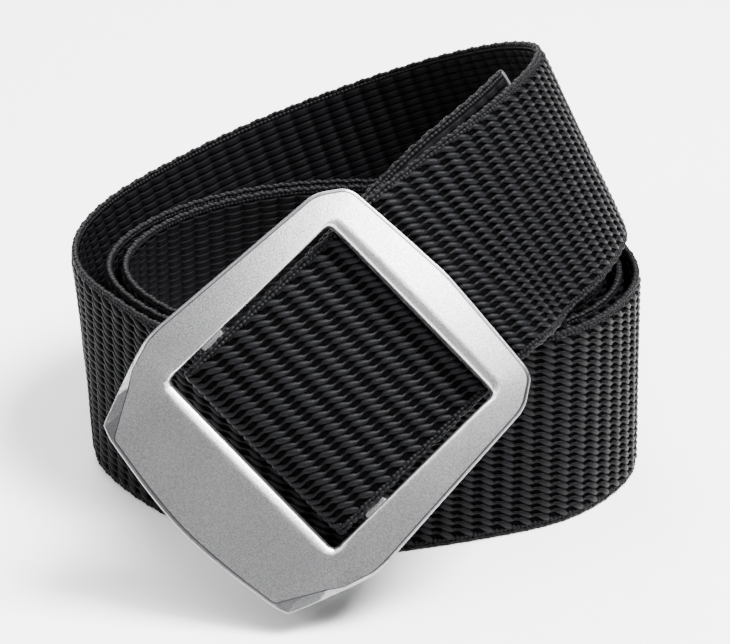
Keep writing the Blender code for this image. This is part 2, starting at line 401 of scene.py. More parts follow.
# outline of a yarn's section: share of its width, share of its height
FACE_ROUND = ((0.50, 0.0), (0.40, 0.78), (0.0, 1.0), (-0.40, 0.78), (-0.50, 0.0))
BACK_ROUND = ((0.50, 0.88), (0.22, 1.0), (-0.22, 1.0), (-0.50, 0.88))


def yarn_period(name, sections, drift, profile):
    """Make one period of a yarn as a tube with a flat bottom."""
    base = CORE_HALF - YARN_SUNK
    verts = []
    last = (1.0, sections[0][1], sections[0][2] - drift, sections[0][3])
    for t, width, place, top in (*sections, last):
        for share, rise in profile:
            y = COLUMN_PITCH * (place + width * share)
            verts.append((t * ROW_PITCH, y, base + (top - base) * rise))
    ring = len(profile)
    faces = []
    for i in range(len(sections)):
        for j in range(ring):
            a = i * ring + j
            b = i * ring + (j + 1) % ring
            faces.append((a, a + ring, b + ring, b))
    return new_mesh_object(name, verts, faces)


face_yarn = yarn_period("face_yarn_period", FACE_YARN, 1.0, FACE_ROUND)
back_yarn = yarn_period("back_yarn_period", BACK_YARN, 0.0, BACK_ROUND)
for yarn in (face_yarn, back_yarn):
    print(yarn.name, 2 * len(yarn.data.polygons), "triangles")

# %% [markdown]
# The selvages are bound tighter than the faces: two cords of small slanted
# stitches run down each edge. The outer one has three stitches to each row of
# the weave.

# %% One stitch of the selvage
STITCH_PITCH = ROW_PITCH / 3
# half length, half width and half height of a stitch
EDGE_CORD = (0.95, 0.46, 0.64)
INNER_CORD = (0.64, 0.56, 0.66)


def selvage_stitch(name, size, slant):
    """Make one closed, slanted bead of the cord that edges the strap."""
    bm = bmesh.new()
    bmesh.ops.create_uvsphere(bm, u_segments=6, v_segments=4, radius=1.0)
    for v in bm.verts:
        x, y, z = v.co
        v.co.x = (x * size[0] + slant * z) * MM
        v.co.y = y * size[1] * MM
        v.co.z = z * size[2] * MM
    mesh = bpy.data.meshes.new(name)
    bm.to_mesh(mesh)
    bm.free()
    obj = bpy.data.objects.new(name, mesh)
    bpy.context.scene.collection.objects.link(obj)
    return obj


edge_stitch = selvage_stitch("edge_stitch", EDGE_CORD, slant=0.22)
inner_stitch = selvage_stitch("inner_stitch", INNER_CORD, slant=-0.14)
print("triangles in one stitch:", sum(len(p.vertices) - 2 for p in edge_stitch.data.polygons))

# %% [markdown]
# ## Helpers for node trees
#
# From here on Geometry Nodes and shader nodes do the work. One call adds a
# node, puts it in its place in the editor and feeds it: each input takes
# either a plain value or a link from another node's output. So a tree reads
# from top to bottom here and from left to right in the editor.

# %% Sockets, nodes and what feeds them
NODE_WIDE = 190
NODE_HIGH = 170


def open_sockets(tree, takes, gives):
    """Give a tree its named input and output sockets."""
    for way, rows in (("INPUT", takes), ("OUTPUT", gives)):
        for name, kind in rows:
            tree.interface.new_socket(name, in_out=way, socket_type="NodeSocket" + kind)


def feed(tree, target, feeds):
    """Link or set each named input of a node."""
    for key, value in feeds.items():
        if isinstance(value, bpy.types.NodeSocket):
            tree.links.new(value, target.inputs[key])
        else:
            target.inputs[key].default_value = value


def node(tree, kind, place, feeds=None, **settings):
    """Add a node at its place in the editor, set its options and feed it."""
    made = tree.nodes.new(kind)
    made.location = (place[0] * NODE_WIDE, -place[1] * NODE_HIGH)
    for key, value in settings.items():
        setattr(made, key, value)
    feed(tree, made, feeds or {})
    return made


def maths(tree, operation, place, *values):
    """Add a Math node on sockets or numbers and return its result."""
    feeds = dict(enumerate(values))
    return node(tree, "ShaderNodeMath", place, feeds, operation=operation).outputs[0]


def vectors(tree, operation, place, feeds):
    """Add a Vector Math node and return its result."""
    return node(tree, "ShaderNodeVectorMath", place, feeds, operation=operation).outputs[0]


# %% [markdown]
# ## Laying a flat pattern on the bent strap
#
# The tree below works in two moves. First it lays copies of a small mesh on
# a flat grid, where x runs along the strap and y across it. Then each vertex
# looks up the guide at its x, between the two nearest guide points, and is
# carried to middle + selvage * y + face * z. A fixed noise shifts the yarns a
# little so that no two rows are alike. The flat place of each vertex is kept
# as an attribute, which the yarn material reads.

# %% A flat grid of units
TREE_INPUTS = (
    ("Geometry", "Geometry"),
    ("Guide", "Object"),
    ("Unit", "Object"),
    ("First", "Float"),
    ("Rows", "Int"),
    ("Row Pitch", "Float"),
    ("Columns", "Int"),
    ("Column Pitch", "Float"),
    ("Side", "Float"),
    ("Wander", "Float"),
    ("Scallop", "Float"),
    ("Finish", "Material"),
)
WELD = 0.01
WANDER_SCALE = 260.0


def flat_units(tree, source):
    """Lay the unit on a flat grid and weld the copies. Return the mesh."""
    rows_less = maths(tree, "SUBTRACT", (1, 0), source["Rows"], 1.0)
    cols_less = maths(tree, "SUBTRACT", (1, 1), source["Columns"], 1.0)
    length = maths(tree, "MULTIPLY", (2, 0), rows_less, source["Row Pitch"])
    width = maths(tree, "MULTIPLY", (2, 1), cols_less, source["Column Pitch"])
    grid = node(tree, "GeometryNodeMeshGrid", (3, 0), {
        "Size X": length,
        "Size Y": width,
        "Vertices X": source["Rows"],
        "Vertices Y": source["Columns"],
    })
    half = maths(tree, "MULTIPLY", (3, 2), length, 0.5)
    shift = maths(tree, "ADD", (4, 2), half, source["First"])
    offset = node(tree, "ShaderNodeCombineXYZ", (5, 2), {"X": shift})
    moved = node(tree, "GeometryNodeSetPosition", (5, 0), {
        "Geometry": grid.outputs["Mesh"],
        "Offset": offset.outputs[0],
    })
    unit_info = node(tree, "GeometryNodeObjectInfo", (5, 3), {"Object": source["Unit"]})
    copies = node(tree, "GeometryNodeInstanceOnPoints", (6, 0), {
        "Points": moved.outputs[0],
        "Instance": unit_info.outputs["Geometry"],
    })
    real = node(tree, "GeometryNodeRealizeInstances", (7, 0), {0: copies.outputs[0]})
    weld = node(tree, "GeometryNodeMergeByDistance", (8, 0), {
        "Geometry": real.outputs[0],
        "Distance": WELD * MM,
    })
    return weld.outputs[0]


# %% Looking up the guide
def guide_at(tree, source, index, share):
    """Return middle, selvage and face directions between two guide points."""
    info = node(tree, "GeometryNodeObjectInfo", (9, 5), {"Object": source["Guide"]})
    later = maths(tree, "ADD", (10, 6), index, 1.0)
    fields = [node(tree, "GeometryNodeInputPosition", (10, 4)).outputs[0]]
    for name in ("selvage_dir", "face_dir"):
        named = node(tree, "GeometryNodeInputNamedAttribute", (10, 7 + len(fields)), {
            "Name": name,
        }, data_type="FLOAT_VECTOR")
        fields.append(named.outputs["Attribute"])
    found = []
    for row, field in enumerate(fields):
        ends = []
        for spot in (index, later):
            sample = node(tree, "GeometryNodeSampleIndex", (11, 4 + 2 * row + len(ends)), {
                "Geometry": info.outputs["Geometry"],
                "Value": field,
                "Index": spot,
            }, data_type="FLOAT_VECTOR", clamp=True)
            ends.append(sample.outputs[0])
        mix = node(tree, "ShaderNodeMix", (12, 4 + 2 * row), {
            0: share,
            4: ends[0],
            5: ends[1],
        }, data_type="VECTOR")
        found.append(mix.outputs[1])
    return found


# %% The bending tree
def bending_tree():
    """Build the tree that lays units on the strap."""
    tree = bpy.data.node_groups.new("lay_on_strap", "GeometryNodeTree")
    open_sockets(tree, TREE_INPUTS, [("Geometry", "Geometry")])
    source = node(tree, "NodeGroupInput", (0, 0)).outputs
    flat = flat_units(tree, source)

    place = node(tree, "GeometryNodeInputPosition", (8, 3)).outputs[0]
    noise = node(tree, "ShaderNodeTexNoise", (8, 5), {
        "Vector": place,
        "Scale": WANDER_SCALE,
        "Detail": 1.0,
    }).outputs["Color"]
    spread = vectors(tree, "SUBTRACT", (9, 2), {0: noise, 1: (0.5, 0.5, 0.5)})
    stray = vectors(tree, "SCALE", (9, 3), {0: spread, "Scale": source["Wander"]})
    wander = vectors(tree, "ADD", (10, 3), {0: place, 1: stray})

    split = node(tree, "ShaderNodeSeparateXYZ", (11, 2), {0: wander}).outputs
    steps = maths(tree, "DIVIDE", (12, 1), split["X"], GUIDE_STEP * MM)
    index = maths(tree, "FLOOR", (13, 1), steps)
    share = maths(tree, "FRACT", (13, 2), steps)
    spot, side, face = guide_at(tree, source, index, share)
    height = maths(tree, "MULTIPLY", (13, 3), split["Z"], source["Side"])
    per_row = 2.0 * math.pi / (ROW_PITCH * MM)
    turns = maths(tree, "MULTIPLY", (12, 11), split["X"], per_row)
    swing = maths(tree, "COSINE", (13, 11), turns)
    wave = maths(tree, "MULTIPLY", (14, 11), swing, source["Scallop"])
    edge = maths(tree, "SIGN", (14, 12), split["Y"])
    outward = maths(tree, "MULTIPLY", (15, 11), wave, edge)
    across = maths(tree, "ADD", (16, 11), split["Y"], outward)
    sideways = vectors(tree, "SCALE", (14, 2), {0: side, "Scale": across})
    upwards = vectors(tree, "SCALE", (14, 3), {0: face, "Scale": height})
    beside = vectors(tree, "ADD", (15, 2), {0: spot, 1: sideways})
    carried = vectors(tree, "ADD", (16, 2), {0: beside, 1: upwards})

    keep = node(tree, "GeometryNodeStoreNamedAttribute", (16, 0), {
        "Geometry": flat,
        "Name": "flat_place",
        "Value": place,
    }, data_type="FLOAT_VECTOR", domain="POINT")
    bend = node(tree, "GeometryNodeSetPosition", (17, 0), {
        "Geometry": keep.outputs[0],
        "Position": carried,
    })
    real = node(tree, "GeometryNodeRealizeInstances", (18, 0), {0: bend.outputs[0]})
    finish = node(tree, "GeometryNodeSetMaterial", (19, 0), {
        "Geometry": real.outputs[0],
        "Material": source["Finish"],
    })
    node(tree, "NodeGroupOutput", (20, 0), {0: finish.outputs[0]})
    return tree


lay_on_strap = bending_tree()
print("bending tree:", len(lay_on_strap.nodes), "nodes")


# %% Run the tree and keep a plain mesh
def lay(name, values):
    """Run the bending tree with the named values and keep a plain mesh."""
    carrier = new_mesh_object(name + "_carrier", [(0, 0, 0)], [])
    modifier = carrier.modifiers.new("lay", "NODES")
    modifier.node_group = lay_on_strap
    for item in lay_on_strap.interface.items_tree:
        if item.in_out == "INPUT" and item.name in values:
            modifier[item.identifier] = values[item.name]
    depsgraph = bpy.context.evaluated_depsgraph_get()
    mesh = bpy.data.meshes.new_from_object(carrier.evaluated_get(depsgraph), depsgraph=depsgraph)
    bpy.data.objects.remove(carrier, do_unlink=True)
    bm = bmesh.new()
    bm.from_mesh(mesh)
    open_ends = [edge for edge in bm.edges if edge.is_boundary]
    caps = bmesh.ops.holes_fill(bm, edges=open_ends, sides=0)["faces"]
    bmesh.ops.recalc_face_normals(bm, faces=bm.faces)
    for face in bm.faces:
        face.smooth = True
    bm.to_mesh(mesh)
    still_open = sum(edge.is_boundary for edge in bm.edges)
    bm.free()
    mesh.name = name
    made = bpy.data.objects.new(name, mesh)
    bpy.context.scene.collection.objects.link(made)
    triangles = sum(len(p.vertices) - 2 for p in mesh.polygons)
    print(name, triangles, "triangles,", len(caps), "ends capped,", still_open, "edges open")
    return made


# %% [markdown]
# ## Webbing finish
#
# Solution-dyed polyamide is a charcoal black that still shines a little on
# the crowns of its yarns. The fibres run along the strap, so fine noise
# stretched in that direction breaks up both the colour and the relief. The
# flat place that the bending tree kept gives the direction, and its height
# sets a painted shade: the yarn's colour goes darker where it dives between
# its neighbours into the holes.

# %% Fibre group, used by every webbing material
def fibre_group():
    """Build the shader group: flat place in, fibre height and painted hole shade out."""
    group = bpy.data.node_groups.new("yarn_fibre", "ShaderNodeTree")
    takes = (("Place", "Vector"), ("Fibre Scale", "Float"), ("Mottle", "Float"))
    open_sockets(group, takes, (("Fibre", "Float"), ("Depth", "Float")))
    source = node(group, "NodeGroupInput", (0, 0)).outputs
    stretch = node(group, "ShaderNodeMapping", (1, 0), {
        "Vector": source["Place"],
        "Scale": (0.12, 1.0, 1.0),
    })
    strands = node(group, "ShaderNodeTexNoise", (2, 0), {
        "Vector": stretch.outputs[0],
        "Scale": source["Fibre Scale"],
        "Detail": 2.0,
    })
    mottle = node(group, "ShaderNodeTexNoise", (2, 2), {
        "Vector": source["Place"],
        "Scale": 90.0,
    })
    patch = maths(group, "MULTIPLY", (3, 2), mottle.outputs["Fac"], source["Mottle"])
    fibre = maths(group, "ADD", (4, 0), strands.outputs["Fac"], patch)
    split = node(group, "ShaderNodeSeparateXYZ", (1, 3), {0: source["Place"]})
    size = maths(group, "ABSOLUTE", (2, 4), split.outputs["Z"])
    # painted shade: 0 down in the holes, 1 on the crowns of the yarns
    hole_shade = node(group, "ShaderNodeMapRange", (3, 4), {
        "Value": size,
        "From Min": 0.46 * MM,
        "From Max": 0.90 * MM,
    }, interpolation_type="SMOOTHSTEP")
    node(group, "NodeGroupOutput", (5, 0), {"Fibre": fibre, "Depth": hole_shade.outputs[0]})
    return group


yarn_fibre = fibre_group()
print("fibre group:", len(yarn_fibre.nodes), "nodes")


# %% What every material needs
def new_material(name):
    """Make a material and return it with its tree and its shader."""
    mat = bpy.data.materials.new(name)
    mat.use_nodes = True
    return mat, mat.node_tree, mat.node_tree.nodes["Principled BSDF"]


def colour_mix(tree, place, share, first, second):
    """Mix two colours by a share and return the result."""
    feeds = {0: share, 6: first, 7: second}
    return node(tree, "ShaderNodeMix", place, feeds, data_type="RGBA").outputs[2]


def relief(tree, place, height, strength, distance):
    """Turn a height into a bumped normal and return it."""
    feeds = {"Height": height, "Strength": strength, "Distance": distance * MM}
    return node(tree, "ShaderNodeBump", place, feeds).outputs[0]


# %% Webbing materials
def webbing_material(name, hole_shade_colour, crown, roughness, shine):
    """Make a yarn material with painted shade: dark in the holes, lighter on top."""
    mat, tree, shader = new_material(name)
    flat = node(tree, "ShaderNodeAttribute", (-6, 0), attribute_name="flat_place")
    fibre = node(tree, "ShaderNodeGroup", (-5, 0), {
        "Place": flat.outputs["Vector"],
        "Fibre Scale": 4200.0,
        "Mottle": 0.5,
    }, node_tree=yarn_fibre).outputs
    # the fibre's own streaks times the painted shade of the holes
    share = maths(tree, "MULTIPLY", (-4, 1), fibre["Depth"], fibre["Fibre"])
    feed(tree, shader, {
        "Base Color": colour_mix(tree, (-3, 0), share, (*hole_shade_colour, 1.0), (*crown, 1.0)),
        "Roughness": roughness,
        "Specular IOR Level": shine,
        "Normal": relief(tree, (-2, 2), fibre["Fibre"], 0.55, 0.12),
    })
    return mat


WEBBING = (
    # name                  painted shade in the holes  on the crowns           roughness  shine
    ("charcoal_face_yarn",  (0.0003, 0.0003, 0.0004), (0.0048, 0.0048, 0.0060), 0.46,      0.06),
    # the inner face is the same dyed yarn, partly painted darker as shade inside the roll
    ("charcoal_back_yarn_painted_shade",  (0.0003, 0.0003, 0.0004), (0.0030, 0.0030, 0.0037), 0.60,      0.04),
    ("charcoal_selvage",    (0.0026, 0.0026, 0.0032), (0.0054, 0.0054, 0.0064), 0.50,      0.08),
    # the ground is painted near black, darker than the yarns, as shade deep in the holes
    ("charcoal_ground_painted_shade",     (0.0002, 0.0002, 0.0003), (0.0006, 0.0006, 0.0008), 0.85,      0.02),
)
face_finish, back_finish, edge_finish, ground_shade_finish = (webbing_material(*row) for row in WEBBING)
print("webbing materials:", len(WEBBING))

# %% [markdown]
# ## The strap's core
#
# Under the yarns lies the ground of the weave, a plain flat band that closes
# the holes. It is a mesh swept along the guide with rounded selvages. Its
# near black finish, darker than the yarns, is painted shade deep in the holes.

# %% Core band
CORE_STEP = 2
CORE_SIDE = 18.2
CORE_EDGE = 0.30
CORE_STEPS = 4


def core_section(p, side, out):
    """Return one section of the core, flat with half-round edges."""
    points = []
    for centre, turn in ((CORE_SIDE, 1.0), (-CORE_SIDE, -1.0)):
        for k in range(CORE_STEPS + 1):
            a = math.radians(-90.0 + 180.0 * k / CORE_STEPS) * turn
            w = centre + turn * CORE_EDGE * math.cos(a)
            n = CORE_HALF * math.sin(a) * turn
            points.append(p + side * w + out * n * turn)
    return points


def build_core():
    """Sweep the section along the guide and close both ends."""
    spots = list(range(0, len(GUIDE_P), CORE_STEP))
    if spots[-1] != len(GUIDE_P) - 1:
        spots.append(len(GUIDE_P) - 1)
    rings = [core_section(GUIDE_P[i], GUIDE_SIDE[i], GUIDE_OUT[i]) for i in spots]
    size = len(rings[0])
    verts = [v for ring in rings for v in ring]
    faces = []
    for i in range(len(rings) - 1):
        for j in range(size):
            a = i * size + j
            b = i * size + (j + 1) % size
            faces.append((a, b, b + size, a + size))
    faces.append(tuple(range(size - 1, -1, -1)))
    faces.append(tuple(range(len(verts) - size, len(verts))))
    core = closed_object("strap_core", verts, faces)
    flat = core.data.attributes.new("flat_place", "FLOAT_VECTOR", "POINT")
    places = [(spot * GUIDE_STEP * MM, j * MM, 0.0) for spot in spots for j in range(size)]
    flat.data.foreach_set("vector", np.array(places, np.float32).ravel())
    # near black: painted shade at the bottom of the holes
    core.data.materials.append(ground_shade_finish)
    return core


core = build_core()
print("core:", len(core.data.polygons), "faces")

# %% [markdown]
# ## Laying the weave
#
# The strap takes about 280 rows. Each face is laid in stretches so that no
# single mesh grows too heavy.

# %% Yarns on both faces
FIRST_ROW = 0.5
ROWS = int((STRAP_LENGTH - 2.0 * FIRST_ROW) / ROW_PITCH)
FACE_STRETCHES = 4
BACK_STRETCHES = 2


def lay_face(label, unit_mesh, side, stretches, finish):
    """Lay one face of the strap in equal stretches."""
    made = []
    share = math.ceil(ROWS / stretches)
    for k in range(stretches):
        made.append(lay("%s_%d" % (label, k + 1), {
            "Guide": guide,
            "Unit": unit_mesh,
            "First": (FIRST_ROW + k * share * ROW_PITCH) * MM,
            "Rows": min(share, ROWS - k * share),
            "Row Pitch": ROW_PITCH * MM,
            "Columns": COLUMNS,
            "Column Pitch": COLUMN_PITCH * MM,
            "Side": side,
            "Wander": 0.20 * MM,
            "Scallop": 0.0,
            "Finish": finish,
        }))
    return made


face_weave = lay_face("face_weave", face_yarn, 1.0, FACE_STRETCHES, face_finish)
back_weave = lay_face("back_weave", back_yarn, -1.0, BACK_STRETCHES, back_finish)

# %% Selvage cords
EDGE_PLACE = 18.40
EDGE_SCALLOP = 0.11
INNER_PLACE = 17.75
INNER_PITCH = STITCH_PITCH / 1.5
CORD_INSET = 1.0


def lay_cords(name, stitch, pitch, place, scallop):
    """Lay one cord of stitches along each of the two edges."""
    return lay(name, {
        "Guide": guide,
        "Unit": stitch,
        "First": CORD_INSET * MM,
        "Rows": int((STRAP_LENGTH - 2.0 * CORD_INSET) / pitch),
        "Row Pitch": pitch * MM,
        "Columns": 2,
        "Column Pitch": 2 * place * MM,
        "Side": 1.0,
        "Wander": 0.08 * MM,
        "Scallop": scallop * MM,
        "Finish": edge_finish,
    })


selvage = [
    lay_cords("selvage_edge_cord", edge_stitch, STITCH_PITCH, EDGE_PLACE, EDGE_SCALLOP),
    lay_cords("selvage_inner_cord", inner_stitch, INNER_PITCH, INNER_PLACE, 0.0),
]

for helper in (guide, face_yarn, back_yarn, edge_stitch, inner_stitch):
    bpy.data.objects.remove(helper, do_unlink=True)

# %% [markdown]
# ## The sealed end
#
# The tail was cut with a hot knife, which melts its yarns into a thin glossy
# lip. Its pale tone is a painted highlight for the sheen of the melt. It is a
# small rounded slab across the end of the strap: a few rings of a flattened
# oval, closed at both ends.

# %% Melted lip of the tail
LIP_HALF_WIDE = 18.7
LIP_HALF_THICK = 0.80
LIP_SIDES = 24
# how square the oval is across the strap and through it
LIP_SQUARE = (0.22, 0.70)
# place along the strap and share of the full size of each ring
LIP_RINGS = ((-0.42, 0.62), (-0.34, 0.88), (-0.10, 1.0), (0.35, 1.0), (0.60, 0.90))


def build_lip():
    """Build the lip as a closed stack of flattened ovals."""
    p = GUIDE_P[0]
    side = GUIDE_SIDE[0]
    out = GUIDE_OUT[0]
    inward = unit(GUIDE_P[1] - GUIDE_P[0])
    verts = []
    for along, share in LIP_RINGS:
        for k in range(LIP_SIDES):
            a = 2.0 * math.pi * k / LIP_SIDES
            c = math.copysign(abs(math.cos(a)) ** LIP_SQUARE[0], math.cos(a))
            n = math.copysign(abs(math.sin(a)) ** LIP_SQUARE[1], math.sin(a))
            wide = LIP_HALF_WIDE - LIP_HALF_THICK * (1.0 - share)
            verts.append(p + inward * along + side * c * wide + out * n * LIP_HALF_THICK * share)
    faces = []
    for ring in range(0, len(verts) - LIP_SIDES, LIP_SIDES):
        for k in range(LIP_SIDES):
            a = ring + k
            b = ring + (k + 1) % LIP_SIDES
            faces.append((a, b, b + LIP_SIDES, a + LIP_SIDES))
    faces += [tuple(range(LIP_SIDES)), tuple(range(len(verts) - LIP_SIDES, len(verts)))]
    return closed_object("sealed_tail_end", verts, faces)


def lip_material():
    """Make slightly glossy melted polyamide with soft lumps, painted pale as a highlight."""
    mat, tree, shader = new_material("melted_polyamide")
    place = node(tree, "ShaderNodeTexCoord", (-5, 0))
    lumps = node(tree, "ShaderNodeTexNoise", (-4, 0), {
        "Vector": place.outputs["Object"],
        "Scale": 1400.0,
        "Detail": 2.0,
    }).outputs["Fac"]
    dark = (0.012, 0.012, 0.014, 1.0)
    # painted highlight: the pale tone stands for the sheen on the glossy melt
    painted_sheen = (0.12, 0.12, 0.125, 1.0)
    feed(tree, shader, {
        "Base Color": colour_mix(tree, (-3, 0), lumps, dark, painted_sheen),
        "Roughness": 0.4,
        "Normal": relief(tree, (-2, 2), lumps, 0.6, 0.15),
    })
    return mat


sealed_end = build_lip()
sealed_end.data.materials.append(lip_material())
print("sealed end:", len(sealed_end.data.polygons), "faces")

# %% [markdown]
# ## The buckle casting
#
# The buckle is one zinc casting: a plate with a nearly square window, a thin
# bar at one end, a broad bar at the other and a cross bar for the fold. Its
# rim is told by rows round half of the plate; the other half mirrors it. A
# plain bevel modifier would round every edge alike. Here each corner has its
# own reach, so the facet lines stay crisp and the window's lip stays soft.

# %% Rows round the rim
PLATE_HALF = 1.4
BACK_BEVEL = 0.35
BROAD_BAR_FROM = -18.0
BROAD_BAR_RISE = 0.1
# rim: the outline; face: where its bevel meets the plate's face; window: the
# paired point of the opening; roll: how far the window's edge is rounded;
# reach: how far the corner at this row is softened
RIM = (
    # rim            rim_top  face            face_top  window            roll   reach
    ((26.95, 0.0),   0.98,    (26.40, 0.0),   1.15,     (18.5, 0.0),      2.00,  1.50),
    ((26.25, 11.0),  0.98,    (25.70, 11.0),  1.15,     (18.5, 10.0),     2.00,  4.00),
    ((25.5, 20.4),   0.97,    (25.0, 20.25),  1.15,     (18.5, 18.5),     1.70,  0.80),
    ((24.7, 22.1),   0.97,    (24.25, 21.8),  1.16,     (18.2, 19.35),    1.20,  0.80),
    ((21.2, 24.5),   1.05,    (20.95, 24.0),  1.22,     (17.35, 19.65),   0.75,  0.80),
    ((19.4, 25.1),   1.08,    (19.25, 24.55), 1.25,     (16.0, 19.65),    0.45,  0.80),
    ((2.0, 26.2),    1.24,    (2.0, 25.65),   1.40,     (2.0, 19.65),     0.45,  4.00),
    ((-14.0, 27.25), 1.19,    (-14.0, 26.7),  1.36,     (-13.0, 19.65),   0.45,  0.90),
    ((-16.6, 27.1),  1.15,    (-16.6, 26.55), 1.32,     (-16.0, 19.65),   0.60,  0.80),
    ((-20.3, 26.0),  0.96,    (-21.6, 25.0),  1.22,     (-17.35, 19.65),  0.90,  0.40),
    ((-26.0, 23.9),  0.84,    (-24.2, 23.2),  1.12,     (-18.2, 19.35),   1.25,  0.40),
    ((-31.3, 21.8),  0.56,    (-28.0, 21.0),  0.95,     (-18.5, 18.5),    1.60,  0.40),
    ((-32.2, 19.3),  0.56,    (-31.7, 18.9),  0.68,     (-18.5, 16.0),    1.80,  0.50),
    ((-33.8, 9.0),   0.48,    (-33.1, 9.0),   0.60,     (-18.5, 8.0),     1.80,  4.00),
    ((-34.5, 0.0),   0.48,    (-33.8, 0.0),   0.60,     (-18.5, 0.0),     1.80,  4.00),
)
# reach of the nine corners of the section, from the back round to the window
PROFILE_REACH = (0.14, 0.16, 0.22, 0.16, 0.70, 0.40, 0.35, 0.14, 0.14)
# the rolled window edge: how far in its bend lies, and two drops, in rolls
ROLL_BEND = 0.24
ROLL_DROP = 0.20
ROLL_LIP = 0.75
print("rim:", len(RIM), "rows for one half,", len(PROFILE_REACH), "corners in the section")


# %% One section of the casting
def pull(point, target, amount):
    """Move a point toward a target by an amount of millimetres."""
    p = np.array(point, float)
    way = np.array(target, float) - p
    return p + way * (amount / np.linalg.norm(way))


def rim_station(row, side):
    """Return the nine corners of the casting's section at one row."""
    rim, rim_top, face, face_top, window, roll, _ = row
    lip = PLATE_HALF if rim[0] > BROAD_BAR_FROM else PLATE_HALF + BROAD_BAR_RISE
    outward = pull(window, rim, roll)
    halfway = pull(window, rim, roll * ROLL_BEND)
    corners = (
        (*pull(rim, window, BACK_BEVEL), -PLATE_HALF),
        (*rim, BACK_BEVEL - PLATE_HALF),
        (*rim, rim_top),
        (*face, face_top),
        (*outward, lip),
        (*halfway, lip - roll * ROLL_DROP),
        (*window, lip - roll * ROLL_LIP),
        (*window, BACK_BEVEL - PLATE_HALF),
        (*pull(window, rim, BACK_BEVEL), -PLATE_HALF),
    )
    return np.array(corners) * (1.0, side, 1.0)


# %% Corners with their own reach
CORNER_STEPS = 4
LEG_SHARE = 0.46


def soften(loop, reaches, sizes):
    """Round each corner of a closed loop over its own reach.

    sizes are the lengths of the loop's legs, from each corner to the next.
    """
    count = len(loop)
    rounded = []
    for i in range(count):
        before = loop[i - 1]
        here = loop[i]
        after = loop[(i + 1) % count]
        a = min(reaches[i] / sizes[i - 1], LEG_SHARE)
        b = min(reaches[i] / sizes[i], LEG_SHARE)
        enter = here + (before - here) * a
        leave = here + (after - here) * b
        for k in range(CORNER_STEPS + 1):
            t = k / CORNER_STEPS
            rounded.append(enter * (1 - t) ** 2 + here * 2 * t * (1 - t) + leave * t ** 2)
    return rounded


def leg_lengths(points):
    """Return each distance from a point of a closed loop to the next."""
    ahead = np.roll(np.array(points), -1, axis=0)
    return np.maximum(np.linalg.norm(ahead - points, axis=1), 1e-6)


def casting_stations():
    """Return the softened sections round the whole casting."""
    rows = [(row, 1.0) for row in RIM] + [(row, -1.0) for row in RIM[-2:0:-1]]
    loop = [rim_station(row, side) for row, side in rows]
    legs = leg_lengths([corners[1] for corners in loop])
    rings = soften(loop, [row[-1] for row, _ in rows], legs)
    return [soften(list(ring), PROFILE_REACH, leg_lengths(ring)) for ring in rings]


stations = casting_stations()
print("casting:", len(stations), "stations of", len(stations[0]), "points")

# %% Plate
# the section's corner where the bevel meets the face, and the rim's painted shade
FACE_EDGE = 3
RIM_PAINTED_SHADE = 0.68


def build_casting():
    """Join the stations and store the painted edge shade on their points."""
    size = len(stations[0])
    count = len(stations)
    verts = [on_buckle(*p) for ring in stations for p in ring]
    faces = []
    for i in range(count):
        k = (i + 1) % count
        for j in range(size):
            m = (j + 1) % size
            faces.append((i * size + j, i * size + m, k * size + m, k * size + j))
    plate = closed_object("plate_buckle", verts, faces)
    painted_shade = plate.data.attributes.new("painted_edge_shade", "FLOAT", "POINT")
    one_ring = np.zeros(size, np.float32)
    first = FACE_EDGE * (CORNER_STEPS + 1)
    # the rim outside the face gets a painted shade
    one_ring[CORNER_STEPS + 1:first] = RIM_PAINTED_SHADE
    # the painted dark line itself lies on the five points of the face's corner
    one_ring[first:first + CORNER_STEPS + 1] = (RIM_PAINTED_SHADE, 1.0, 1.0, 1.0, 0.0)
    painted_shade.data.foreach_set("value", np.tile(one_ring, count))
    return plate


# %% Cross bar
BAR_FROM = -11.4
BAR_TO = -6.0
BAR_BACK = -2.1
BAR_FRONT = 0.1
BAR_REACH = 21.6
BAR_ROUND = 0.7
BAR_STEPS = 5


def build_bar():
    """Build the cross bar with quarter-round edges."""
    corners = (
        (BAR_TO - BAR_ROUND, BAR_FRONT - BAR_ROUND),
        (BAR_FROM + BAR_ROUND, BAR_FRONT - BAR_ROUND),
        (BAR_FROM + BAR_ROUND, BAR_BACK + BAR_ROUND),
        (BAR_TO - BAR_ROUND, BAR_BACK + BAR_ROUND),
    )
    ring = []
    for quarter, (s, w) in enumerate(corners):
        for k in range(BAR_STEPS + 1):
            a = math.radians(90.0 * (quarter + k / BAR_STEPS))
            ring.append((s + BAR_ROUND * math.cos(a), w + BAR_ROUND * math.sin(a)))
    size = len(ring)
    verts = [on_buckle(s, c, w) for c in (-BAR_REACH, BAR_REACH) for s, w in ring]
    faces = [(j, (j + 1) % size, (j + 1) % size + size, j + size) for j in range(size)]
    faces += [tuple(range(size)), tuple(range(size, 2 * size))]
    return closed_object("cross_bar", verts, faces)


# %% One casting
SHARP_ANGLE = math.radians(40.0)


def join_casting():
    """Unite plate and bar into one casting with clean edge shading."""
    plate = build_casting()
    bar = build_bar()
    union = plate.modifiers.new("cross_bar", "BOOLEAN")
    union.operation = "UNION"
    union.solver = "EXACT"
    union.object = bar
    weigh = plate.modifiers.new("flat_faces", "WEIGHTED_NORMAL")
    weigh.keep_sharp = True
    for obj in (plate, bar):
        for polygon in obj.data.polygons:
            polygon.use_smooth = True
        obj.data.set_sharp_from_angle(angle=SHARP_ANGLE)
    depsgraph = bpy.context.evaluated_depsgraph_get()
    mesh = bpy.data.meshes.new_from_object(plate.evaluated_get(depsgraph), depsgraph=depsgraph)
    plate.modifiers.clear()
    plate.data = mesh
    bpy.data.objects.remove(bar, do_unlink=True)
    return plate


buckle = join_casting()
print("buckle:", len(buckle.data.polygons), "faces")
